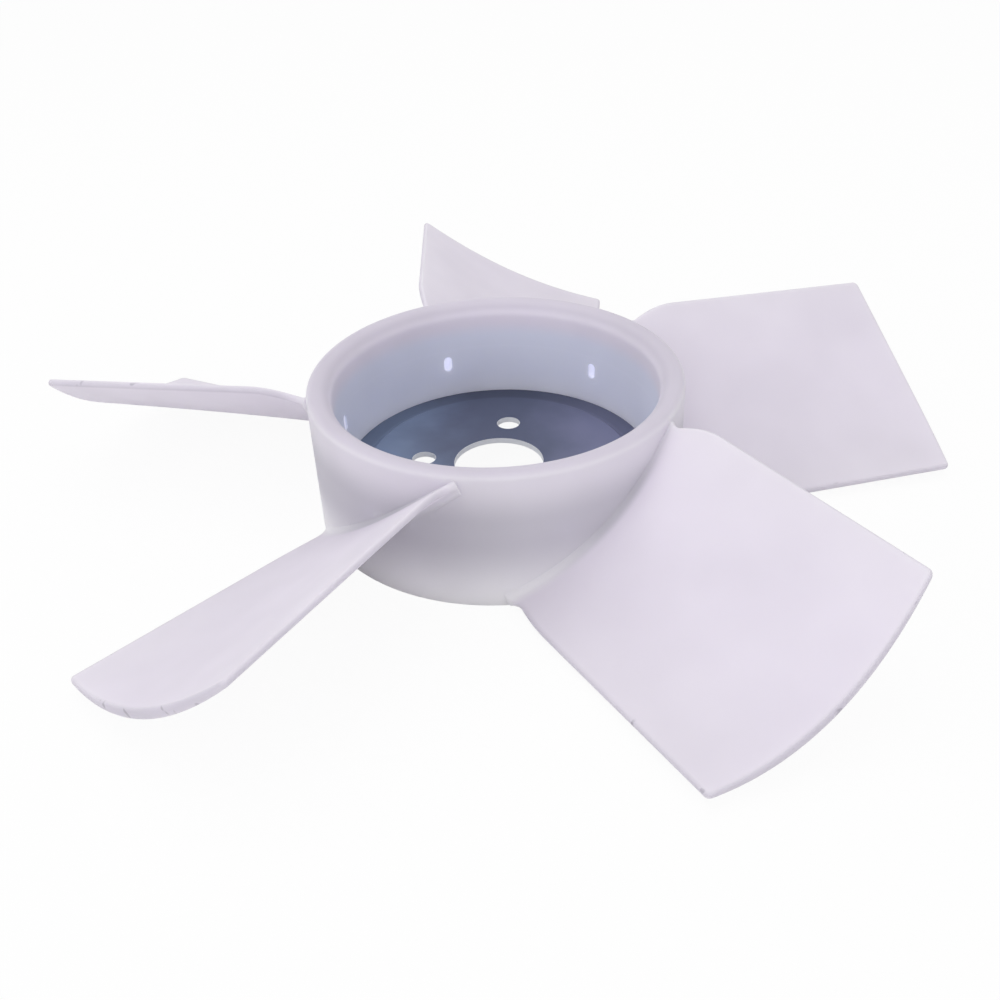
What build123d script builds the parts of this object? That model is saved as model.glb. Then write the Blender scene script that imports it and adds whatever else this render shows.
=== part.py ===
from build123d import *
import os

# Engine cooling fan: a nylon hub with five blades, moulded round a steel mounting plate.
# Millimetres. The origin is the bore's centre on the plate's mounting face, +Z runs up the axis to the open rim.

# Hub
hub_height = 65.0
rim_outer_radius = 83.6
foot_outer_radius = 82.6
rim_wall = 10.6
foot_wall = 10.2
recess_draft = 2.0
rim_outer_round = 3.2
rim_land = 0.4
rim_bevels = 3
foot_bevel = 1.2
cup_depth = 45.0

# Steel mounting plate
plate_thickness = 2.6
plate_embed = 6.1
bore_diameter = 41.0
bolt_circle_diameter = 70.0
bolt_hole_diameter = 11.0
bolt_count = 4
bolt_start_angle = 81.0
step_radius = 61.0
step_width = 1.6
step_height = 1.0

# Blind pockets in the cup's wall
pocket_count = 6
pocket_start_angle = 48.8
pocket_drop = 29.0
pocket_width = 4.2
pocket_height = 7.6
pocket_depth = 8.0

# Blades: heights are above the hub's foot, root values hold at the hub's wall and tip values at the tip circle
blade_count = 5
blade_angle = -57.4
tip_radius = 210.0
root_half_chord = 42.2
tip_half_chord = 50.7
chord_shift = -1.8
low_edge_root = 2.3
low_edge_tip = 5.5
high_edge_root = 67.1
high_edge_tip = 56.3
camber_root = 5.0
camber_tip = 10.5
blade_thickness = 5.0
edge_thickness = 2.7
neck_length = 30.0
neck_high = 6.2
neck_low = 3.6
neck_droop = 6.2
tip_corner_round = 2.0
root_bevel = 2.4

# Lengths that only give the cutting and joining shapes room
overrun = 12.0
flank_room = 0.4
round_runout = 0.1

# Heights along the axis
plate_top = plate_thickness
rim_top = plate_top + cup_depth
foot = rim_top - hub_height
flange_top = plate_top - step_height

# Inner radii and inner round of the hub, from its outer ones and its wall
rim_inner_radius = rim_outer_radius - rim_wall
rim_inner_round = rim_wall - rim_outer_round - rim_land
foot_inner_radius = foot_outer_radius - foot_wall
plate_seat_radius = foot_inner_radius - recess_draft

# Places along a blade where its chord's ends meet the hub and the tip circle
root_station = (foot_outer_radius**2 - root_half_chord**2) ** 0.5
tip_station = (tip_radius**2 - tip_half_chord**2) ** 0.5
neck_station = root_station + neck_length


def turns(count, start):
    """Angles of a full pattern about the axis."""
    return [start + 360 * index / count for index in range(count)]


def hub_radius(height):
    """Outer radius of the tapered hub at a height."""
    return foot_outer_radius + (rim_outer_radius - foot_outer_radius) * (height - foot) / hub_height


def cup_radius(height):
    """Inner radius of the tapered cup at a height above the plate."""
    share = (height - flange_top) / (rim_top - rim_inner_round - flange_top)
    return plate_seat_radius + (rim_inner_radius - plate_seat_radius) * share


def along_blade(root_value, tip_value, station):
    """Value at a station, on the straight line from the root's value to the tip's."""
    share = (station - root_station) / (tip_station - root_station)
    return root_value + (tip_value - root_value) * share


def neck_share(station):
    """How far the neck is formed at a station: none at its outer end, and more and more towards the hub."""
    return max(0.0, (neck_station - station) / neck_length) ** 2


def mean_height(station, across):
    """Height of the mean surface: a chord with a parabolic sag, its high side drooping towards the hub."""
    half_chord = along_blade(root_half_chord, tip_half_chord, station)
    low = foot + along_blade(low_edge_root, low_edge_tip, station)
    high = foot + along_blade(high_edge_root, high_edge_tip, station)
    sag = along_blade(camber_root, camber_tip, station)
    share = (across - chord_shift + half_chord) / (2 * half_chord)
    droop = neck_droop * neck_share(station)
    return low + (high - low) * share - 4 * sag * share * (1 - share) - droop * share**2


def blade_section(station):
    """Section across the blade: two shallow arcs, thick in the middle, with thin square edges."""
    half_chord = along_blade(root_half_chord, tip_half_chord, station)
    low = chord_shift - half_chord + neck_low * neck_share(station)
    high = chord_shift + half_chord - neck_high * neck_share(station)
    places = [Vector(across, mean_height(station, across)) for across in (low, (low + high) / 2, high)]
    mean = ThreePointArc(*places)
    normals = [(mean % share).rotate(Axis.Z, 90) for share in (0, 0.5, 1)]
    halves = [edge_thickness / 2, blade_thickness / 2, edge_thickness / 2]
    upper = ThreePointArc(*[place + normal * half for place, normal, half in zip(places, normals, halves)])
    lower = ThreePointArc(*[place - normal * half for place, normal, half in zip(places, normals, halves)])
    ends = [Line(upper @ share, lower @ share) for share in (0, 1)]
    section_plane = Plane(origin=(station, 0, 0), x_dir=(0, 1, 0), z_dir=(1, 0, 0))
    return section_plane * make_face([upper, lower, *ends])


def blade_planform():
    """Plan outline that cuts the blade's tip to the fan's circle and rounds its two corners."""
    sides = []
    for station in (0, tip_radius + overrun):
        half_width = along_blade(root_half_chord, tip_half_chord, station) + edge_thickness / 2 + flank_room
        sides.append((station, half_width))
    low_side = [(station, chord_shift - half_width) for station, half_width in sides]
    high_side = [(station, chord_shift + half_width) for station, half_width in sides]
    wedge = make_face(Polyline(*low_side, *reversed(high_side), close=True))
    outline = Circle(tip_radius) & wedge
    tip_corners = outline.vertices().sort_by(Axis.X)[-2:]
    return fillet(tip_corners, tip_corner_round)


def make_blade():
    """One blade along +X: a neck that starts inside the hub's wall, and a straight twisted span to the tip."""
    neck_step = neck_length / 2
    neck_stations = [neck_station - neck_step * index for index in range(4)]
    neck = loft([blade_section(station) for station in reversed(neck_stations)])
    span = loft([blade_section(station) for station in (neck_station, tip_radius + overrun)], ruled=True)
    column = extrude(Plane.XY.offset(foot - overrun) * blade_planform(), hub_height + 2 * overrun)
    return neck + (span & column)


def make_boss():
    """Solid hub blank, longer than the hub at both ends, so that the root bevels run out past its faces."""
    low = foot - overrun
    high = rim_top + overrun
    blank = Cone(hub_radius(low), hub_radius(high), high - low, align=(Align.CENTER, Align.CENTER, Align.MIN))
    seam_angle = blade_angle + 180 / blade_count
    return Pos(0, 0, low) * Rot(0, 0, seam_angle) * blank


def rim_corner(centre_radius, corner_round, start_angle):
    """Points of a quarter round at the rim, clockwise from the start angle, turned as even bevels."""
    centre = Vector(centre_radius, rim_top - corner_round)
    angles = [start_angle - 90 * step / rim_bevels for step in range(rim_bevels + 1)]
    return [centre + Vector(corner_round, 0).rotate(Axis.Z, angle) for angle in angles]


def make_clearing():
    """What is turned away from the blank: the cup, the rim's rounds, the recess below the plate and the foot."""
    outer_end = rim_top - rim_outer_round
    outer_radius = hub_radius(outer_end) + round_runout
    reach = rim_outer_radius + overrun
    floor = foot - overrun
    ceiling = rim_top + 2 * overrun
    outline = Polyline(
        (0, floor),
        (reach, floor),
        (reach, foot),
        (foot_inner_radius + foot_bevel, foot),
        (foot_inner_radius, foot + foot_bevel),
        (plate_seat_radius, flange_top),
        *rim_corner(rim_inner_radius + rim_inner_round, rim_inner_round, 180),
        *rim_corner(outer_radius - rim_outer_round, rim_outer_round, 90),
        (reach, outer_end + reach - outer_radius),
        (reach, ceiling),
        (0, ceiling),
        close=True,
    )
    return revolve(Plane.XZ * make_face(outline), Axis.Z)


def make_pockets():
    """Blind oval pockets round the cup's wall."""
    height = rim_top - pocket_drop
    mouth = Plane(origin=(0, 0, height), x_dir=(0, 1, 0), z_dir=(1, 0, 0))
    opening = SlotOverall(pocket_height, pocket_width, rotation=90)
    pocket = extrude(mouth * opening, cup_radius(height) + pocket_depth)
    return [Rot(0, 0, angle) * pocket for angle in turns(pocket_count, pocket_start_angle)]


def make_plate():
    """Pressed steel plate: a raised centre on a flat flange whose edge the nylon holds."""
    inner = step_radius - step_width / 2
    outer = step_radius + step_width / 2
    edge = plate_seat_radius + plate_embed
    top = [(0, plate_top), (inner, plate_top), (outer, flange_top), (edge, flange_top)]
    under = [(radius, height - plate_thickness) for radius, height in reversed(top)]
    plate = revolve(Plane.XZ * make_face(Polyline(*top, *under, close=True)), Axis.Z)
    drill_height = 4 * plate_thickness
    plate -= Cylinder(bore_diameter / 2, drill_height)
    bolt_hole = Pos(bolt_circle_diameter / 2, 0, 0) * Cylinder(bolt_hole_diameter / 2, drill_height)
    plate -= [Rot(0, 0, angle) * bolt_hole for angle in turns(bolt_count, bolt_start_angle)]
    return plate


def make_moulding(plate):
    """Hub and blades in one piece, with bevelled blade roots, moulded round the plate's edge."""
    blade = make_blade()
    body = make_boss() + [Rot(0, 0, angle) * blade for angle in turns(blade_count, blade_angle)]
    wall_edges = body.faces().filter_by(GeomType.CONE).edges()
    roots = [edge for edge in wall_edges if edge.geom_type == GeomType.BSPLINE and edge.length > root_half_chord]
    body = chamfer(roots, root_bevel)
    body -= make_clearing()
    body -= make_pockets()
    return body - plate


def main():
    os.makedirs("parts", exist_ok=True)
    plate = make_plate()
    moulding = make_moulding(plate)
    export_step(plate, "parts/mounting_plate.step")
    export_step(moulding, "parts/fan_moulding.step")


main()
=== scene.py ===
import math

import bpy
import numpy as np
from bpy.props import FloatProperty, FloatVectorProperty, IntProperty, PointerProperty
from mathutils import Matrix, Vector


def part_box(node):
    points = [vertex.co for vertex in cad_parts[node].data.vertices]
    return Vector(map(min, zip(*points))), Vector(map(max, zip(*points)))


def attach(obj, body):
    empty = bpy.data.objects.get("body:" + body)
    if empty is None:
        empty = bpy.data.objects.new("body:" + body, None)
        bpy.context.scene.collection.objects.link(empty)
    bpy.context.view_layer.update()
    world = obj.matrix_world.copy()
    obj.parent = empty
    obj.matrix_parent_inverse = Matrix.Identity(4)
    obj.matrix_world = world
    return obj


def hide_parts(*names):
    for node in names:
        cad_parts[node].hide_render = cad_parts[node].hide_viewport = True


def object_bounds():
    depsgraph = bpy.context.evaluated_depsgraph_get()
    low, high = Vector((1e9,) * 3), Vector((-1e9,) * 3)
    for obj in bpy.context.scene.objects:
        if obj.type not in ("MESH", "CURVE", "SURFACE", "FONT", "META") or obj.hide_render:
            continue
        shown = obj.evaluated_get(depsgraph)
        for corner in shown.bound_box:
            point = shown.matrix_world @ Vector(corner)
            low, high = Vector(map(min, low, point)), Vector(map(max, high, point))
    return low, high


bl_info = {
    "name": "Engine cooling fan",
    "version": (1, 0, 0),
    "blender": (4, 5, 0),
    "location": "3D View > Sidebar > Fan",
    "description": "Dresses the packed engine cooling fan: nylon moulding, steel plate and studio",
    "category": "Object",
}

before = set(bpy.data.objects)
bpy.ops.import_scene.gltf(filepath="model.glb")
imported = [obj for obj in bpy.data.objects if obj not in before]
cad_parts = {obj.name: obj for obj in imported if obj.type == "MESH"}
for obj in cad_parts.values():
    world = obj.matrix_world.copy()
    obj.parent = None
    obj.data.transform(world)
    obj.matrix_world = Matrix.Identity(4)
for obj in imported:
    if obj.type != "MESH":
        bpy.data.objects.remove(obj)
CAD_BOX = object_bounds()
PLATE_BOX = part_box("mounting_plate")

MM = 0.001
PLATE_TOP = PLATE_BOX[1].z
FOOT = CAD_BOX[0].z
PHOTO_PIXELS = 1000
SENSOR_WIDTH = 36.0


def linear(hex_colour):
    """Linear RGB of an sRGB hex colour: the standard curve, a straight toe below 0.04045 and a 2.4 power above."""
    shares = np.array([int(hex_colour[i:i + 2], 16) for i in (0, 2, 4)]) / 255
    return tuple(np.where(shares <= 0.04045, shares / 12.92, ((shares + 0.055) / 1.055) ** 2.4))


def length(name, description, millimetres):
    """Property for a real length, given in millimetres and stored in metres."""
    return FloatProperty(
        name=name, description=description, default=millimetres * MM, min=0.0, precision=5, unit="LENGTH"
    )


def offset(name, description, millimetres):
    """Property for a signed place along an axis, given in millimetres and stored in metres."""
    return FloatProperty(name=name, description=description, default=millimetres * MM, precision=5, unit="LENGTH")


def angle(name, description, degrees):
    """Property for an angle, given in degrees and stored in radians."""
    return FloatProperty(name=name, description=description, default=math.radians(degrees), subtype="ANGLE")


def colour(name, description, hex_colour):
    """Property for a surface colour, given as sRGB hex and stored linear."""
    return FloatVectorProperty(
        name=name, description=description, default=linear(hex_colour), min=0.0, max=1.0, subtype="COLOR"
    )


class FanHub(bpy.types.PropertyGroup):
    """Sizes of the cup-shaped hub."""

    cup_depth: length("Cup depth", "From the rim's top down to the plate", 45.0)
    rim_radius: length("Rim radius", "Outer radius at the rim", 83.6)
    foot_radius: length("Foot radius", "Outer radius at the foot", 82.6)
    rim_wall: length("Rim wall", "Wall thickness at the rim", 10.6)
    foot_wall: length("Foot wall", "Wall thickness at the foot", 10.2)
    recess_draft: length("Recess draft", "How much the recess narrows up to the plate", 2.0)
    outer_round: length("Outer rim round", "Radius of the rim's outer edge", 3.2)
    inner_round: length("Inner rim round", "Radius of the rim's inner edge", 7.0)
    foot_round: length("Foot round", "Radius of the foot's edges", 0.9)
    pocket_count: IntProperty(name="Pockets", description="Blind pockets round the cup's wall", default=6, min=1)
    pocket_start: angle("Pocket angle", "Place of the first pocket round the axis", 48.8)
    pocket_drop: length("Pocket drop", "From the rim's top down to a pocket's middle", 29.0)
    pocket_width: length("Pocket width", "Width of a pocket's mouth", 4.2)
    pocket_height: length("Pocket height", "Height of a pocket's mouth", 7.6)
    pocket_depth: length("Pocket depth", "Depth of a pocket from the cup's wall", 8.0)


class FanPlate(bpy.types.PropertyGroup):
    """Places on the steel plate where its finish changes."""

    step_radius: length("Step radius", "Radius of the pressed step", 61.0)
    bore_radius: length("Bore radius", "Radius of the centre bore", 20.5)
    bolt_circle: length("Bolt circle", "Radius of the circle of bolt holes", 35.0)
    bolt_radius: length("Bolt hole radius", "Radius of a bolt hole", 5.5)
    bolt_count: IntProperty(name="Bolt holes", description="Holes on the bolt circle", default=4, min=1)
    bolt_start: angle("Bolt angle", "Place of the first bolt hole round the axis", 81.0)


class FanBlades(bpy.types.PropertyGroup):
    """Sizes of the five blades. Heights are above the foot."""

    count: IntProperty(name="Blades", description="Blades round the hub", default=5, min=1)
    start: angle("Blade angle", "Place of the first blade round the axis", -57.4)
    tip_radius: length("Tip radius", "Radius of the circle that the tips lie on", 210.0)
    root_half_chord: length("Root half chord", "Half the blade's width at the hub", 42.2)
    tip_half_chord: length("Tip half chord", "Half the blade's width at the tip", 50.7)
    chord_shift: offset("Chord shift", "How far the chord's middle lies off the radial line", -1.8)
    low_root: length("Low edge, root", "Height of the low edge at the hub", 2.3)
    low_tip: length("Low edge, tip", "Height of the low edge at the tip", 5.5)
    high_root: length("High edge, root", "Height of the high edge at the hub", 67.1)
    high_tip: length("High edge, tip", "Height of the high edge at the tip", 56.3)
    camber_root: length("Camber, root", "Sag of the section below its chord at the hub", 5.0)
    camber_tip: length("Camber, tip", "Sag of the section below its chord at the tip", 10.5)
    thickness: length("Thickness", "Thickness in the middle of the chord", 5.0)
    edge: length("Edge thickness", "Thickness at the blade's rounded edges", 2.7)
    edge_round: length("Edge round", "How far the rounding of an edge reaches into the blade", 0.8)
    neck_length: length("Neck length", "Length over which the edges draw in towards the hub", 30.0)
    neck_high: length("Neck, high edge", "How far the high edge draws in at the hub", 6.2)
    neck_low: length("Neck, low edge", "How far the low edge draws in at the hub", 3.6)
    neck_droop: length("Neck, droop", "How far the high edge droops at the hub", 6.2)
    corner: length("Tip corner", "Radius of the tip's corners in plan", 2.0)
    root_flare: length("Root flare", "How far the edges spread where they run into the hub", 3.5)
    fillet: length("Root fillet", "Radius of the fillet between blade and hub", 2.8)


class FanFinish(bpy.types.PropertyGroup):
    """Colours of the nylon and the steel, and the light, shade, reflection and glow painted on them."""

    blade_nylon: colour("Blade nylon", "Natural nylon in the thin blades", "E3DDE9")
    # edge_shade_nylon is painted shade along the blades' edges, where their rounded faces turn from the light
    edge_shade_nylon: colour("Edge nylon", "Rubbed nylon along the blades' edges", "B4AFBC")
    scuffed_nylon: colour("Scuffed nylon", "Grey scuffs on the blades' edges", "8B8792")
    rim_nylon: colour("Rim nylon", "Natural nylon at the rim", "CFC9D6")
    # rim_nylon is the nylon's own tone at the rim. Below it, brow_light_nylon, lip_light_nylon and foot_light_nylon
    # are painted light, wall_shade_nylon is painted shade and cup_reflection_nylon is a painted reflection of the blue
    # plate.
    brow_light_nylon: colour("Brow nylon", "Outer wall just below the rim", "E0DCE5")
    lip_light_nylon: colour("Lip nylon", "Inner wall just below the rim", "EAE4EF")
    wall_shade_nylon: colour("Wall nylon", "Outer wall at half height", "C6C3CD")
    foot_light_nylon: colour("Foot nylon", "Wall at the foot", "F2F0F5")
    cup_reflection_nylon: colour("Cup nylon", "Wall inside the cup, beside the blue plate", "E4E6F4")
    # pocket_glow_nylon is a painted glow: the pockets are paler and give off a faint light
    pocket_glow_nylon: colour("Pocket nylon", "Thin floor of a pocket, where light comes through", "E9EAF6")
    # plate_sheen_side and plate_shade_middle are partly the coat's blue and partly painted sheen and shade: lighter on
    # one side, darkest in the middle
    plate_sheen_side: colour("Plate, one side", "Coat where it runs to blue", "8090AB")
    plate_shade_middle: colour("Plate, middle", "Coat where it is darkest", "5A6178")
    plate_right: colour("Plate, other side", "Coat where it runs to violet", "7C7F9B")
    # plate_flange_shade is painted shade on the flange outside the pressed step, next to the hub's wall
    plate_flange_shade: colour("Plate, flange", "Dark coat outside the pressed step", "3C4254")
    cut_steel: colour("Cut steel", "Bare sheared edge of the holes", "F2F3F6")


class FanStage(bpy.types.PropertyGroup):
    """Camera and light of the studio."""

    focal_length: FloatProperty(name="Focal length", description="Lens on a 36 mm sensor", default=46.526, min=1.0)
    elevation: angle("Elevation", "Height of the camera's line of sight over the rim", 27.822)
    distance: length("Distance", "From the camera to the middle of the rim", 573.393)
    roll: angle("Roll", "Turn of the camera about its line of sight", 2.527)
    aim_x: FloatProperty(name="Aim, across", description="Picture column of the rim's middle", default=494.969)
    aim_y: FloatProperty(name="Aim, down", description="Picture row of the rim's middle", default=374.277)
    sky: FloatProperty(name="Sky", description="Strength of the even light from all round", default=0.66, min=0.0)
    overhead: FloatProperty(name="Overhead lamp", description="Power of the lamp over the fan", default=3.6, min=0.0)
    side: FloatProperty(name="Side lamp", description="Power of the lamp left of the camera", default=2.8, min=0.0)
    low: FloatProperty(name="Low lamp", description="Power of the lamp in front, just over the floor", default=2.4, min=0.0)


def rim_top(hub):
    """Height of the rim's top: the plate's top plus the depth of the cup."""
    return PLATE_TOP + hub.cup_depth


def rounded_loop(corners, radii, steps):
    """Closed loop with its corners rounded. Each corner is replaced by an arc that touches both its sides: the
    arc's centre lies on the corner's bisector, at the radius divided by the sine of half the corner's angle."""
    corner = np.asarray(corners, float)
    radius = np.asarray(radii, float)[:, None]
    back = np.roll(corner, 1, 0) - corner
    ahead = np.roll(corner, -1, 0) - corner
    back /= np.linalg.norm(back, axis=1, keepdims=True)
    ahead /= np.linalg.norm(ahead, axis=1, keepdims=True)
    half = np.arccos(np.clip((back * ahead).sum(1, keepdims=True), -1, 1)) / 2
    bisector = back + ahead
    bisector /= np.linalg.norm(bisector, axis=1, keepdims=True)
    centre = corner + bisector * radius / np.sin(half)
    start = corner + back * radius / np.tan(half) - centre
    end = corner + ahead * radius / np.tan(half) - centre
    first = np.arctan2(start[:, 1], start[:, 0])[:, None]
    turn = np.arctan2(end[:, 1], end[:, 0])[:, None] - first
    turn = (turn + np.pi) % (2 * np.pi) - np.pi
    arc = first + turn * np.linspace(0, 1, steps)
    points = centre[:, None, :] + radius[:, None, :] * np.stack([np.cos(arc), np.sin(arc)], -1)
    return points.reshape(-1, 2)


def spaced(loop, spacing):
    """The loop with extra points on its straight runs, so that no two neighbours are further apart than spacing."""
    closed = np.vstack([loop, loop[:1]])
    reach = np.r_[0, np.cumsum(np.linalg.norm(np.diff(closed, axis=0), axis=1))]
    even = np.arange(0, reach[-1], spacing)
    gap = np.abs(even[:, None] - reach[None, :]).min(1)
    stations = np.sort(np.r_[reach[:-1], even[gap > spacing / 4]])
    return np.stack([np.interp(stations, reach, closed[:, axis]) for axis in (0, 1)], 1)


def grid_faces(index):
    """Quads of a grid of vertex numbers, in the grid's own order."""
    return np.stack([index[:-1, :-1], index[1:, :-1], index[1:, 1:], index[:-1, 1:]], -1).reshape(-1, 4)


def tidy_faces(quads):
    """Face lists from quads: a quad with two neighbouring corners on one vertex becomes a triangle."""
    same = quads == np.roll(quads, -1, 1)
    whole = quads[~same.any(1)]
    pinched = quads[same.sum(1) == 1]
    keep = ~(pinched == np.roll(pinched, -1, 1))
    return whole.tolist() + pinched[keep].reshape(-1, 3).tolist()


def mesh_object(name, points, faces):
    """Object at the origin whose mesh holds these points and faces."""
    mesh = bpy.data.meshes.new(name)
    mesh.from_pydata(np.asarray(points).reshape(-1, 3).tolist(), [], faces)
    mesh.update()
    piece = bpy.data.objects.new(name, mesh)
    bpy.context.scene.collection.objects.link(piece)
    return piece


def combine(piece, tool, operation):
    """The piece joined with the tool's solid, or cut by it. The tool is used up."""
    cut = piece.modifiers.new("combine", "BOOLEAN")
    cut.operation = operation
    cut.solver = "MANIFOLD"
    cut.object = tool
    depsgraph = bpy.context.evaluated_depsgraph_get()
    mesh = bpy.data.meshes.new_from_object(piece.evaluated_get(depsgraph))
    piece.modifiers.clear()
    piece.data = mesh
    bpy.data.objects.remove(tool)
    if not mesh.polygons:
        raise RuntimeError(f"combining {piece.name} left no faces")


def turned(points, angles):
    """Copies of the points, turned about the axis by each of the angles."""
    cos, sin = np.cos(angles), np.sin(angles)
    zero, one = np.zeros_like(cos), np.ones_like(cos)
    turn = np.stack([np.stack([cos, -sin, zero], -1), np.stack([sin, cos, zero], -1), np.stack([zero, zero, one], -1)], -2)
    return np.einsum("kab,...b->k...a", turn, points)


def round_the_axis(count, start):
    """Angles of a full pattern about the axis."""
    return start + 2 * np.pi * np.arange(count) / count


def copied_faces(quads, copies, vertex_count):
    """The quads of one copy, repeated for all copies."""
    shifts = np.arange(copies) * vertex_count
    return (quads[None] + shifts[:, None, None]).reshape(-1, 4)


def hub_solid(hub):
    """Hub as a closed ring: its wall's section, a loop of radius and height, is turned about the axis. The point
    at angle a is (radius times cos a, radius times sin a, height)."""
    top = rim_top(hub)
    foot_inside = hub.foot_radius - hub.foot_wall
    corners = [
        (foot_inside, FOOT),
        (hub.foot_radius, FOOT),
        (hub.rim_radius, top),
        (hub.rim_radius - hub.rim_wall, top),
        (foot_inside - hub.recess_draft, PLATE_TOP - 1.0 * MM),
    ]
    rounds = [hub.foot_round, hub.foot_round, hub.outer_round, hub.inner_round, 0.3 * MM]
    loop = spaced(rounded_loop(corners, rounds, 12), 5 * MM)
    turn = np.linspace(0, 2 * np.pi, 256, endpoint=False)[:, None]
    radius, height = loop[None, :, 0], loop[None, :, 1]
    points = np.stack([radius * np.cos(turn), radius * np.sin(turn), height + 0 * turn], -1)
    index = np.arange(points.shape[0] * points.shape[1]).reshape(points.shape[:2])
    index = np.vstack([index, index[:1]])
    index = np.hstack([index, index[:, :1]])
    return mesh_object("hub", points, grid_faces(index).tolist())


def cup_radius(hub, height):
    """Radius of the cup's inner wall at a height, on the straight line from the plate to the rim."""
    seat = hub.foot_radius - hub.foot_wall - hub.recess_draft
    seat_height = PLATE_TOP - 1.0 * MM
    share = (height - seat_height) / (rim_top(hub) - seat_height)
    return seat + (hub.rim_radius - hub.rim_wall - seat) * share


def pocket_solids(hub):
    """Tools for the pockets: a slot outline carried outwards along the radius, and drawn in to a point at its
    rounded end. The outline is a circle of the width whose halves stand apart by height minus width."""
    height = rim_top(hub) - hub.pocket_drop
    wall = cup_radius(hub, height)
    turn = np.linspace(0, 2 * np.pi, 48, endpoint=False) + np.pi / 48
    across = hub.pocket_width / 2 * np.cos(turn)
    up = hub.pocket_width / 2 * np.sin(turn) + (hub.pocket_height - hub.pocket_width) / 2 * np.sign(np.sin(turn))
    ease = np.linspace(0, np.pi / 2, 8)
    reach = np.r_[0.0, -9 * MM, wall + hub.pocket_depth - 1.2 * MM * (1 - np.sin(ease))]
    reach[:2] = wall - 9 * MM
    size = np.r_[0.0, 1.0, 0.55 + 0.45 * np.cos(ease)]
    reach, size = np.r_[reach, reach[-1]], np.r_[size, 0.0]
    rings = np.stack([reach[:, None] + 0 * across, size[:, None] * across, height + size[:, None] * up], -1)
    rows, columns = rings.shape[:2]
    index = np.arange(rows * columns).reshape(rows, columns)
    index[0], index[-1] = index[0, 0], index[-1, 0]
    index = np.hstack([index, index[:, :1]])
    angles = round_the_axis(hub.pocket_count, hub.pocket_start)
    quads = copied_faces(grid_faces(index)[:, ::-1], hub.pocket_count, rows * columns)
    return mesh_object("pockets", turned(rings, angles), tidy_faces(quads))


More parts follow.
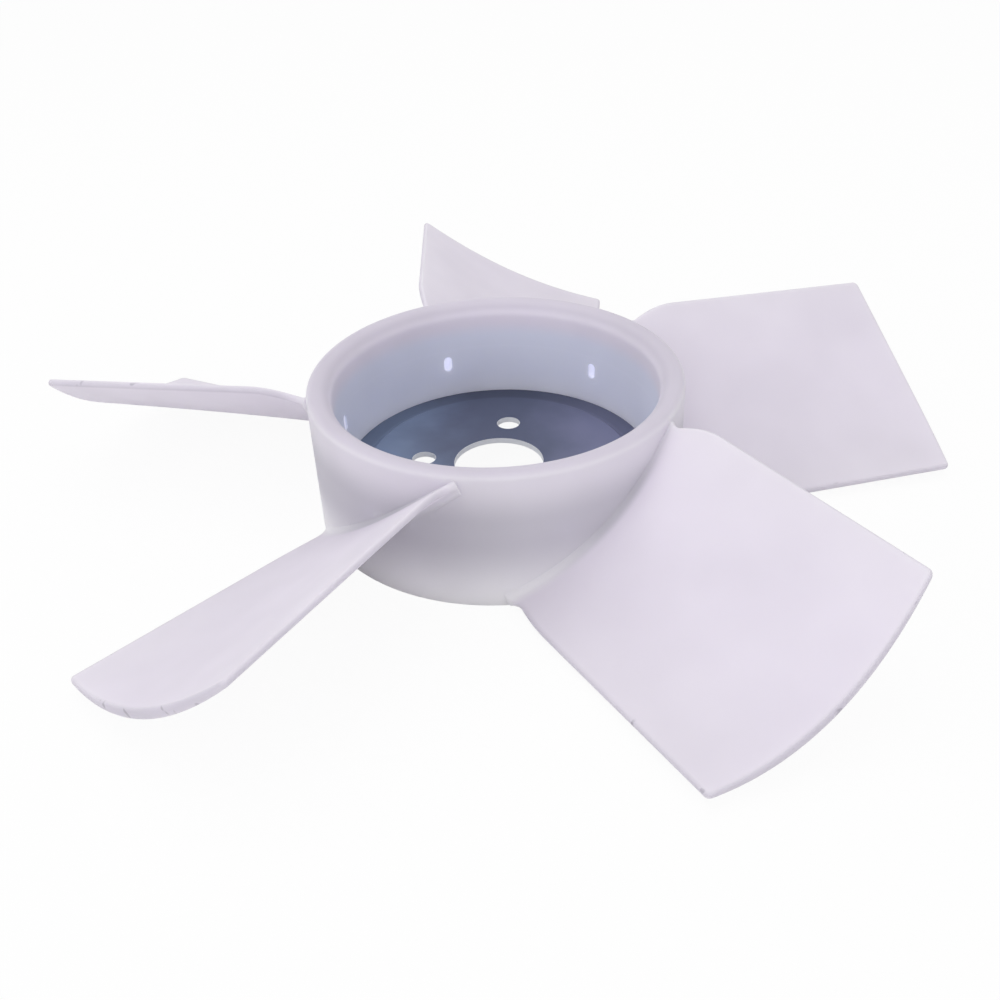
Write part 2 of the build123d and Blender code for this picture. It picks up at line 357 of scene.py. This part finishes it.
class BladeShape:
    """Formulas of one blade along +X: u is the distance along the blade and v the distance across it."""

    def __init__(self, hub, blades):
        self.b = blades
        self.hub = hub
        self.hub_radius = (hub.foot_radius + hub.rim_radius) / 2
        self.root = math.sqrt(hub.foot_radius ** 2 - blades.root_half_chord ** 2)
        self.tip = math.sqrt(blades.tip_radius ** 2 - blades.tip_half_chord ** 2)
        self.taper = math.hypot(1, (blades.tip_half_chord - blades.root_half_chord) / (self.tip - self.root))

    def along(self, root_value, tip_value, u):
        """Value on the straight line from the root's to the tip's."""
        return root_value + (tip_value - root_value) * (u - self.root) / (self.tip - self.root)

    def neck(self, u):
        """How far the neck is formed: none at its outer end, and by the square of the way from there to the hub."""
        return np.maximum(0, 1 - (u - self.root) / self.b.neck_length) ** 2

    def flanks(self, u):
        """Low and high edge in plan: the chord's ends, drawn in at the neck."""
        half = self.along(self.b.root_half_chord, self.b.tip_half_chord, u)
        neck = self.neck(u)
        low = self.b.chord_shift - half + self.b.neck_low * neck
        high = self.b.chord_shift + half - self.b.neck_high * neck
        return low - self.flare(u, low), high + self.flare(u, high)

    def flare(self, u, v):
        """Spread of an edge next to the hub: the square of the way to the hub, over twice the spread's length."""
        away = (np.hypot(u, v) - self.hub_radius) / (2 * self.b.root_flare)
        return self.b.root_flare * np.clip(1 - away, 0, 1) ** 2

    def off_wall(self, u, v):
        """Distance outwards from the hub's tapered wall."""
        rise = (self.mean(u, v) - FOOT) / (rim_top(self.hub) - FOOT)
        return np.hypot(u, v) - self.hub.foot_radius - (self.hub.rim_radius - self.hub.foot_radius) * rise

    def share(self, u, v):
        """Place across the chord, 0 at the low edge and 1 at the high edge, without the neck."""
        half = self.along(self.b.root_half_chord, self.b.tip_half_chord, u)
        return (v - self.b.chord_shift + half) / (2 * half)

    def mean(self, u, v):
        """Height of the mean surface: a straight chord less a parabola of the camber's depth, and less the neck's
        droop, which grows by the square of the share across."""
        s = self.share(u, v)
        low = FOOT + self.along(self.b.low_root, self.b.low_tip, u)
        high = FOOT + self.along(self.b.high_root, self.b.high_tip, u)
        sag = 4 * self.along(self.b.camber_root, self.b.camber_tip, u) * s * (1 - s)
        return low + (high - low) * s - sag - self.b.neck_droop * self.neck(u) * s ** 2

    def normal(self, u, v):
        """Unit normal of the mean surface, from its slopes over a tenth of a millimetre."""
        step = 0.05 * MM
        slope_u = (self.mean(u + step, v) - self.mean(u - step, v)) / (2 * step)
        slope_v = (self.mean(u, v + step) - self.mean(u, v - step)) / (2 * step)
        normal = np.stack([-slope_u, -slope_v, np.ones_like(u)], -1)
        return normal / np.linalg.norm(normal, axis=-1, keepdims=True)

    def at_radius(self, radius, w):
        """Where the line at share w between the flanks crosses a circle about the axis, by repeated substitution."""
        u = np.sqrt(radius ** 2 - (self.b.root_half_chord * (2 * w - 1)) ** 2)
        for _ in range(30):
            low, high = self.flanks(u)
            u = np.sqrt(radius ** 2 - (low + (high - low) * w) ** 2)
        return u

    def tip_end(self, w):
        """Where that line meets the tip: the fan's circle, less the drop of the corner's arc near the flanks."""
        corner = self.b.corner
        radius = np.full_like(w, self.b.tip_radius)
        for _ in range(6):
            low, high = self.flanks(self.at_radius(radius, w))
            inside = np.minimum(w, 1 - w) * (high - low) / self.taper
            short = np.clip(corner - inside, 0, corner)
            radius = self.b.tip_radius - (corner - np.sqrt(corner ** 2 - short ** 2))
        return self.at_radius(radius, w)

    def edge_distance(self, u, v):
        """Distance to the plan outline: the least of the ways to both flanks and the tip circle, rounded where two
        of them are shorter than the corner's radius."""
        low, high = self.flanks(u)
        side = np.minimum(v - low, high - v) / self.taper
        end = self.b.tip_radius - np.hypot(u, v)
        corner = self.b.corner
        rounded = corner - np.hypot(corner - side, corner - end)
        both = (side < corner) & (end < corner)
        return np.maximum(np.where(both, rounded, np.minimum(side, end)), 0)

    def half_thickness(self, u, v):
        """Half the thickness: a parabola over the chord, an elliptic nose at the edges, and near the hub the extra
        of a fillet, which is its radius less the height of its circle."""
        s = self.share(u, v)
        body = self.b.edge / 2 + (self.b.thickness - self.b.edge) / 2 * 4 * s * (1 - s)
        away = np.clip(self.off_wall(u, v) + 0.1 * self.b.fillet, 0, self.b.fillet)
        flare = self.b.fillet - np.sqrt(self.b.fillet ** 2 - (self.b.fillet - away) ** 2)
        nose = np.clip(self.edge_distance(u, v) / self.b.edge_round, 0, 1)
        return (body + flare) * np.sqrt(1 - (1 - nose) ** 2)


def blade_solids(hub, blades):
    """Blades as closed pillows: the mean surface over the plan outline, offset both ways along its normal by half
    the thickness. Lines across follow a cosine, so they crowd at the edges, and lines along crowd at root and tip."""
    shape = BladeShape(hub, blades)
    w = (1 - np.cos(np.linspace(0, np.pi, 61))) / 2
    crowd = 1 - np.cos(np.linspace(0, np.pi / 2, 12))
    wall_u = shape.at_radius(np.full_like(w, shape.hub_radius), w)
    low, high = shape.flanks(wall_u)
    wall = shape.hub_radius - shape.off_wall(wall_u, low + (high - low) * w)
    start_steps = np.r_[-4.0 * MM, -1.5 * MM, blades.fillet * crowd]
    start = np.stack([shape.at_radius(wall + step, w) for step in start_steps])
    end = shape.tip_end(w)
    finish = end[None] - 4.0 * MM * crowd[::-1, None]
    middle = start[-1] + (finish[0] - start[-1]) * np.linspace(0, 1, 42)[1:-1, None]
    u = np.vstack([start, middle, finish])
    low, high = shape.flanks(u)
    v = low + (high - low) * w
    mean = np.stack([u, v, shape.mean(u, v)], -1)
    lift = shape.normal(u, v) * shape.half_thickness(u, v)[..., None]
    rows, columns = u.shape
    upper = np.arange(rows * columns).reshape(rows, columns)
    lower = upper + rows * columns
    lower[:, 0], lower[:, -1], lower[-1] = upper[:, 0], upper[:, -1], upper[-1]
    root = np.stack([upper[0], lower[0]])
    quads = np.vstack([grid_faces(upper), grid_faces(lower)[:, ::-1], grid_faces(root)[:, ::-1]])
    used, packed = np.unique(quads, return_inverse=True)
    points = np.concatenate([mean + lift, mean - lift]).reshape(-1, 3)[used]
    points[:, 2] = np.maximum(points[:, 2], FOOT + 0.05 * MM)
    quads = copied_faces(packed.reshape(-1, 4), blades.count, len(used))
    angles = round_the_axis(blades.count, blades.start)
    return mesh_object("blades", turned(points, angles), tidy_faces(quads))


def add(tree, kind, values=None, links=None, **options):
    """Adds one node: options are its settings, values its inputs' defaults, and links the sockets that feed it."""
    node = tree.nodes.new(kind)
    for key, value in options.items():
        setattr(node, key, value)
    for key, value in (values or {}).items():
        node.inputs[key].default_value = value
    for key, socket in (links or {}).items():
        tree.links.new(socket, node.inputs[key])
    return node


def new_material(name):
    """Empty node material with its output."""
    material = bpy.data.materials.new(name)
    material.use_nodes = True
    material.node_tree.nodes.clear()
    return material, material.node_tree, add(material.node_tree, "ShaderNodeOutputMaterial")


# Places of the colour sockets on a mix node, after its number and vector ones
MIX_FIRST, MIX_SECOND, MIX_RESULT = 6, 7, 2


def mixed(tree, factor, first, second):
    """Colour between two: each is a plain colour or a socket."""
    values, links = {}, {0: factor}
    for place, given in ((MIX_FIRST, first), (MIX_SECOND, second)):
        if isinstance(given, bpy.types.NodeSocket):
            links[place] = given
        else:
            values[place] = (*given, 1)
    return add(tree, "ShaderNodeMix", values, links, data_type="RGBA").outputs[MIX_RESULT]


def ramp(tree, value, low, high, to_low=0.0, to_high=1.0):
    """Value eased from one range to another, and held at its ends."""
    span = {"From Min": low, "From Max": high, "To Min": to_low, "To Max": to_high}
    node = add(tree, "ShaderNodeMapRange", span, {"Value": value}, interpolation_type="SMOOTHSTEP")
    return node.outputs["Result"]


def noise(tree, place, width, detail):
    """Noise whose features are about as wide as given, in metres."""
    values = {"Scale": 1 / width, "Detail": detail, "Roughness": 0.55}
    return add(tree, "ShaderNodeTexNoise", values, {"Vector": place}).outputs["Fac"]


def off_axis(tree, place, middle):
    """Distance of a place from the upright axis through a middle at height 0."""
    flat = add(tree, "ShaderNodeVectorMath", {1: (1, 1, 0)}, {0: place}, operation="MULTIPLY").outputs[0]
    return add(tree, "ShaderNodeVectorMath", {1: middle}, {0: flat}, operation="DISTANCE").outputs["Value"]


def polar(tree, place):
    """Distance from the axis and height of a place."""
    height = add(tree, "ShaderNodeSeparateXYZ", links={0: place}).outputs["Z"]
    return off_axis(tree, place, (0, 0, 0)), height


def times(tree, first, second):
    """Product of two values, the second a socket or a number."""
    if isinstance(second, bpy.types.NodeSocket):
        return add(tree, "ShaderNodeMath", links={0: first, 1: second}, operation="MULTIPLY").outputs[0]
    return add(tree, "ShaderNodeMath", {1: second}, {0: first}, operation="MULTIPLY").outputs[0]


def hub_tone_light_shade(tree, hub, finish, radius, height):
    """Colour of the hub's wall, the same all round, with light and shade painted in by height. Outside it has painted
    shade, grey at half height, and painted light, paler towards the rim and the foot. Inside it takes a painted
    reflection of the plate's blue below a lip of painted light, and the rim's own tone lies between them."""
    top = rim_top(hub)
    brow = ramp(tree, height, top - 24 * MM, top - 6 * MM)
    outside = mixed(tree, brow, finish.wall_shade_nylon, finish.brow_light_nylon)
    outside = mixed(tree, ramp(tree, height, top - 2 * MM, top), outside, finish.rim_nylon)
    inside = mixed(tree, ramp(tree, height, top - 17 * MM, top - 8 * MM), finish.cup_reflection_nylon, finish.lip_light_nylon)
    inside = mixed(tree, ramp(tree, height, top - 5 * MM, top - 1.5 * MM), inside, finish.rim_nylon)
    hub_colour = mixed(tree, ramp(tree, radius, 76 * MM, 79 * MM), inside, outside)
    return mixed(tree, ramp(tree, height, FOOT + 3 * MM, FOOT + 33 * MM, 1.0, 0.0), hub_colour, finish.foot_light_nylon)


def pocket_mask(tree, hub, radius, height):
    """One on the pockets' walls and floors: inside the hub's wall there is no other surface at their height."""
    middle = rim_top(hub) - hub.pocket_drop
    wall = cup_radius(hub, middle)
    deep = ramp(tree, radius, wall + 0.3 * MM, wall + 1.2 * MM)
    inside = add(tree, "ShaderNodeMath", {1: wall + hub.pocket_depth + 0.5 * MM}, {0: radius}, operation="LESS_THAN")
    away = add(tree, "ShaderNodeMath", {1: middle}, {0: height}, operation="SUBTRACT").outputs[0]
    near = add(tree, "ShaderNodeMath", {1: 0.0, 2: hub.pocket_height}, {0: away}, operation="COMPARE").outputs[0]
    return times(tree, times(tree, deep, inside.outputs[0]), near)


def moulded_nylon(hub, finish):
    """Natural nylon, injection moulded: milky and slightly lilac, with a satin skin. Light passes into it, so the thin
    blades are bright and the thick hub is greyer; its paler and greyer bands by height are painted light and shade,
    and the pockets' walls and floors have a painted glow."""
    material, tree, output = new_material("natural_nylon_moulded")
    place = add(tree, "ShaderNodeTexCoord").outputs["Object"]
    radius, height = polar(tree, place)
    hub_colour = hub_tone_light_shade(tree, hub, finish, radius, height)
    blade = ramp(tree, radius, hub.rim_radius + 0.2 * MM, hub.rim_radius + 5 * MM)
    body = mixed(tree, blade, hub_colour, finish.blade_nylon)
    # painted shade: edges grey along the outline of each blade, where their rounded faces turn from the light
    edge = add(tree, "ShaderNodeAttribute", attribute_name="blade_edge").outputs["Fac"]
    body = mixed(tree, times(tree, edge, 0.45), body, finish.edge_shade_nylon)
    # a few small scuffs, about 2 mm long, on the outer half of the edges
    scuffs = ramp(tree, noise(tree, place, 6 * MM, 1.0), 0.68, 0.74, 0.0, 0.5)
    scuffs = times(tree, scuffs, ramp(tree, radius, 130 * MM, 170 * MM))
    body = mixed(tree, times(tree, edge, scuffs), body, finish.scuffed_nylon)
    # painted glow: the pockets' walls and floors are paler, and below they give off a faint light of their own
    pocket = pocket_mask(tree, hub, radius, height)
    body = mixed(tree, pocket, body, finish.pocket_glow_nylon)
    # flow clouds of the melt, about 60 mm wide, a little paler and darker
    clouds = ramp(tree, noise(tree, place, 60 * MM, 2.0), 0.3, 0.7, 0.96, 1.02)
    body = add(tree, "ShaderNodeVectorMath", links={0: body, "Scale": clouds}, operation="SCALE").outputs[0]
    # skin grain of a satin mould, about 1.5 mm, and patches of gloss about 20 mm wide
    skin = noise(tree, place, 1.5 * MM, 0.0)
    grain = add(tree, "ShaderNodeBump", {"Strength": 0.05, "Distance": 0.1 * MM}, {"Height": skin})
    gloss = ramp(tree, noise(tree, place, 20 * MM, 1.0), 0.3, 0.7, 0.5, 0.58)
    # the pockets' painted glow is a faint emission of their colour
    shader = add(
        tree,
        "ShaderNodeBsdfPrincipled",
        {
            "IOR": 1.53,
            "Specular IOR Level": 0.3,
            "Subsurface Weight": 0.5,
            "Subsurface Radius": (0.95, 0.95, 1.0),
            "Subsurface Scale": 8 * MM,
            "Emission Color": (*finish.pocket_glow_nylon, 1),
        },
        {
            "Base Color": body,
            "Roughness": gloss,
            "Normal": grain.outputs[0],
            "Emission Strength": times(tree, pocket, 0.22),
        },
    )
    tree.links.new(shader.outputs[0], output.inputs["Surface"])
    return material


def hole_walls(tree, plate, place):
    """One on the sheared walls of the bore and the bolt holes, which are as far from a hole's axis as its radius."""
    walls = ramp(tree, off_axis(tree, place, (0, 0, 0)), plate.bore_radius, plate.bore_radius + 0.1 * MM, 1.0, 0.0)
    for turn in round_the_axis(plate.bolt_count, plate.bolt_start):
        middle = (plate.bolt_circle * math.cos(turn), plate.bolt_circle * math.sin(turn), 0)
        away = off_axis(tree, place, middle)
        wall = ramp(tree, away, plate.bolt_radius, plate.bolt_radius + 0.1 * MM, 1.0, 0.0)
        walls = add(tree, "ShaderNodeMath", links={0: walls, 1: wall}, operation="MAXIMUM").outputs[0]
    return walls


def coated_steel(plate, finish):
    """Steel sheet with a thin conversion coat: a dull slate tone that runs from blue to violet across the plate,
    partly the coat's tint and partly painted sheen, lighter on one side and darkest in the middle; painted shade on
    the flange outside the pressed step; and bright bare metal on the sheared walls of its holes."""
    material, tree, output = new_material("slate_coated_steel")
    place = add(tree, "ShaderNodeTexCoord").outputs["Object"]
    across = add(tree, "ShaderNodeSeparateXYZ", links={0: place}).outputs["X"]
    # clouds of the coat, about 35 mm wide, move its tones a few millimetres
    clouds = ramp(tree, noise(tree, place, 35 * MM, 3.0), 0.3, 0.7, -8 * MM, 8 * MM)
    drift = add(tree, "ShaderNodeMath", links={0: across, 1: clouds}, operation="ADD").outputs[0]
    # painted sheen and shade: lighter and bluer on one side, darkest in the middle, violet on the other
    coat = mixed(tree, ramp(tree, drift, -58 * MM, -8 * MM), finish.plate_sheen_side, finish.plate_shade_middle)
    coat = mixed(tree, ramp(tree, drift, 8 * MM, 52 * MM), coat, finish.plate_right)
    radius, _ = polar(tree, place)
    # painted shade: darker on the flange outside the pressed step, next to the hub's wall
    flange = ramp(tree, radius, plate.step_radius - 1 * MM, plate.step_radius + 3 * MM, 0.0, 0.4)
    coat = mixed(tree, flange, coat, finish.plate_flange_shade)
    cut = hole_walls(tree, plate, place)
    coat = mixed(tree, cut, coat, finish.cut_steel)
    # rolling grain of the sheet, 0.8 mm
    sheet = noise(tree, place, 0.8 * MM, 2.0)
    grain = add(tree, "ShaderNodeBump", {"Strength": 0.06, "Distance": 0.1 * MM}, {"Height": sheet})
    gloss = ramp(tree, noise(tree, place, 35 * MM, 3.0), 0.3, 0.7, 0.42, 0.5)
    shader = add(
        tree,
        "ShaderNodeBsdfPrincipled",
        links={
            "Base Color": coat,
            "Metallic": ramp(tree, cut, 0.0, 1.0, 0.6, 0.1),
            "Roughness": gloss,
            "Normal": grain.outputs[0],
        },
    )
    tree.links.new(shader.outputs[0], output.inputs["Surface"])
    return material


def seen(tree):
    """One on rays from the camera and on those that gloss or glass sends on, which show the background."""
    path = add(tree, "ShaderNodeLightPath").outputs
    eye = add(tree, "ShaderNodeMath", links={0: path["Is Camera Ray"], 1: path["Is Glossy Ray"]}, operation="MAXIMUM")
    links = {0: eye.outputs[0], 1: path["Is Transmission Ray"]}
    return add(tree, "ShaderNodeMath", links=links, operation="MAXIMUM").outputs[0]


def white_floor():
    """White studio paper: nearly plain white where it is seen, with the fan's soft shadow kept. It gives the fan no
    light but what it reflects. Seen from below it is clear."""
    material, tree, output = new_material("white_studio_paper")
    paper = add(tree, "ShaderNodeBsdfDiffuse", {"Color": (*linear("F4F4F4"), 1)})
    glow = add(tree, "ShaderNodeEmission", {"Color": (1, 1, 1, 1), "Strength": 1.0})
    white = times(tree, seen(tree), 0.94)
    lit = add(tree, "ShaderNodeMixShader", links={0: white, 1: paper.outputs[0], 2: glow.outputs[0]})
    clear = add(tree, "ShaderNodeBsdfTransparent")
    below = add(tree, "ShaderNodeNewGeometry").outputs["Backfacing"]
    surface = add(tree, "ShaderNodeMixShader", links={0: below, 1: lit.outputs[0], 2: clear.outputs[0]})
    tree.links.new(surface.outputs[0], output.inputs["Surface"])
    return material


def studio_sky(strength):
    """World: plain white for the camera, for gloss and for glass, and an even grey light for the rest."""
    world = bpy.data.worlds.new("studio_sky")
    world.use_nodes = True
    tree = world.node_tree
    tree.nodes.clear()
    output = add(tree, "ShaderNodeOutputWorld")
    light = add(tree, "ShaderNodeBackground", {"Color": (1, 1, 1, 1), "Strength": strength})
    white = add(tree, "ShaderNodeBackground", {"Color": (1, 1, 1, 1), "Strength": 1.0})
    surface = add(tree, "ShaderNodeMixShader", links={0: seen(tree), 1: light.outputs[0], 2: white.outputs[0]})
    tree.links.new(surface.outputs[0], output.inputs["Surface"])
    return world


def soft_lamp(name, power, place):
    """Round lamp, 1.2 m wide, that looks at the fan's middle from its place."""
    lamp = bpy.data.objects.new(name, bpy.data.lights.new(name, "AREA"))
    lamp.data.shape = "DISK"
    lamp.data.size = 1.2
    lamp.data.energy = power
    lamp.location = place
    lamp.rotation_euler = lamp.location.to_track_quat("Z", "Y").to_euler()
    return lamp


def camera_matrix(hub, stage):
    """Camera's place in the world. It stands in front of the rim's middle at the given elevation and distance, is
    turned so that the rim's middle falls on its picture point, and is rolled about its line of sight."""
    place = stage.distance * np.array([0, -math.cos(stage.elevation), math.sin(stage.elevation)])
    forward = -place / np.linalg.norm(place)
    right = np.cross(forward, [0, 0, 1])
    right /= np.linalg.norm(right)
    up = np.cross(right, forward)
    pixels = stage.focal_length / SENSOR_WIDTH * PHOTO_PIXELS
    half = PHOTO_PIXELS / 2
    aim = np.array([(stage.aim_x - half) / pixels, (half - stage.aim_y) / pixels, 1.0])
    aim /= np.linalg.norm(aim)
    axis = np.cross([0, 0, 1], aim)
    skew = np.array([[0, -axis[2], axis[1]], [axis[2], 0, -axis[0]], [-axis[1], axis[0], 0]])
    tilt = np.eye(3) + skew + skew @ skew / (1 + aim[2])
    cos, sin = math.cos(stage.roll), math.sin(stage.roll)
    roll = np.array([[cos, -sin, 0], [sin, cos, 0], [0, 0, 1]])
    right, up, forward = tilt @ roll @ np.array([right, up, forward])
    matrix = np.eye(4)
    matrix[:3, :3] = np.stack([right, up, -forward], 1)
    matrix[:3, 3] = place + [0, 0, rim_top(hub)]
    return Matrix(matrix.tolist())


def mark_edges(piece, hub, blades):
    """Stores blade_edge on each vertex: 1 on a blade's outline, 0 from 1.5 mm inside it, and 0 on the hub. The vertex
    is turned back by the nearest blade's angle, and its distance to the outline is taken there."""
    mesh = piece.data
    points = np.empty(len(mesh.vertices) * 3)
    mesh.vertices.foreach_get("co", points)
    x, y, _ = points.reshape(-1, 3).T
    pitch = 2 * np.pi / blades.count
    turn = (np.arctan2(y, x) - blades.start + pitch / 2) % pitch - pitch / 2
    radius = np.hypot(x, y)
    shape = BladeShape(hub, blades)
    away = shape.edge_distance(radius * np.cos(turn), radius * np.sin(turn))
    share = np.clip(1 - away / (1.5 * MM), 0, 1) * np.clip((radius - hub.rim_radius) / (12 * MM), 0, 1)
    mesh.attributes.new("blade_edge", "FLOAT", "POINT").data.foreach_set("value", share.astype(np.float32))


class FAN_OT_moulding(bpy.types.Operator):
    """Make the nylon moulding: the hub with its pockets and blades, in one piece"""

    bl_idname = "fan.moulding"
    bl_label = "Nylon moulding"

    def execute(self, context):
        scene = context.scene
        hub, blades = scene.fan_hub, scene.fan_blades
        piece = hub_solid(hub)
        combine(piece, blade_solids(hub, blades), "UNION")
        combine(piece, pocket_solids(hub), "DIFFERENCE")
        piece.name = piece.data.name = "nylon_moulding"
        piece.data.shade_smooth()
        piece.data.set_sharp_from_angle(angle=math.radians(40))
        mark_edges(piece, hub, blades)
        piece.data.materials.clear()
        piece.data.materials.append(moulded_nylon(hub, scene.fan_finish))
        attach(piece, "root")
        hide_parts("fan_moulding")
        return {"FINISHED"}


class FAN_OT_plate(bpy.types.Operator):
    """Give the steel plate its coat"""

    bl_idname = "fan.plate"
    bl_label = "Steel plate"

    def execute(self, context):
        scene = context.scene
        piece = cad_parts["mounting_plate"]
        piece.material_slots[0].material = coated_steel(scene.fan_plate, scene.fan_finish)
        return {"FINISHED"}


class FAN_OT_stage(bpy.types.Operator):
    """Set up the floor, the light and the camera"""

    bl_idname = "fan.stage"
    bl_label = "Studio"

    def execute(self, context):
        scene = context.scene
        stage = scene.fan_stage
        half, ground = 3.0, FOOT - 0.3 * MM
        corners = [(-half, -half, ground), (half, -half, ground), (half, half, ground), (-half, half, ground)]
        floor = mesh_object("floor", corners, [[0, 1, 2, 3]])
        floor.data.materials.append(white_floor())
        overhead = soft_lamp("overhead_lamp", stage.overhead, (-0.15, 0.1, 1.1))
        side = soft_lamp("side_lamp", stage.side, (-1.0, -0.75, 0.75))
        low = soft_lamp("low_lamp", stage.low, (0.5, -1.15, 0.2))
        camera = bpy.data.objects.new("photo_camera", bpy.data.cameras.new("photo_camera"))
        camera.data.sensor_width = SENSOR_WIDTH
        camera.data.lens = stage.focal_length
        camera.data.clip_start = 0.01
        camera.matrix_world = camera_matrix(scene.fan_hub, stage)
        for item in (overhead, side, low, camera):
            scene.collection.objects.link(item)
        scene.camera = camera
        scene.world = studio_sky(stage.sky)
        scene.view_settings.view_transform = "Standard"
        return {"FINISHED"}


class FAN_PT_panel(bpy.types.Panel):
    """Lists the steps and the sizes"""

    bl_idname = "FAN_PT_panel"
    bl_label = "Engine cooling fan"
    bl_space_type = "VIEW_3D"
    bl_region_type = "UI"
    bl_category = "Fan"

    def draw(self, context):
        layout = self.layout
        for operator in (FAN_OT_moulding, FAN_OT_plate, FAN_OT_stage):
            layout.operator(operator.bl_idname)
        for group_name, group in GROUPS.items():
            box = layout.box()
            for name in group.__annotations__:
                box.prop(getattr(context.scene, group_name), name)


GROUPS = {
    "fan_hub": FanHub,
    "fan_plate": FanPlate,
    "fan_blades": FanBlades,
    "fan_finish": FanFinish,
    "fan_stage": FanStage,
}
CLASSES = (*GROUPS.values(), FAN_OT_moulding, FAN_OT_plate, FAN_OT_stage, FAN_PT_panel)


def register():
    for entry in CLASSES:
        bpy.utils.register_class(entry)
    for name, group in GROUPS.items():
        setattr(bpy.types.Scene, name, PointerProperty(type=group))


def unregister():
    for name in GROUPS:
        delattr(bpy.types.Scene, name)
    for entry in reversed(CLASSES):
        bpy.utils.unregister_class(entry)


def main():
    register()
    bpy.ops.fan.moulding()
    bpy.ops.fan.plate()
    bpy.ops.fan.stage()


if __name__ == "__main__":
    main()
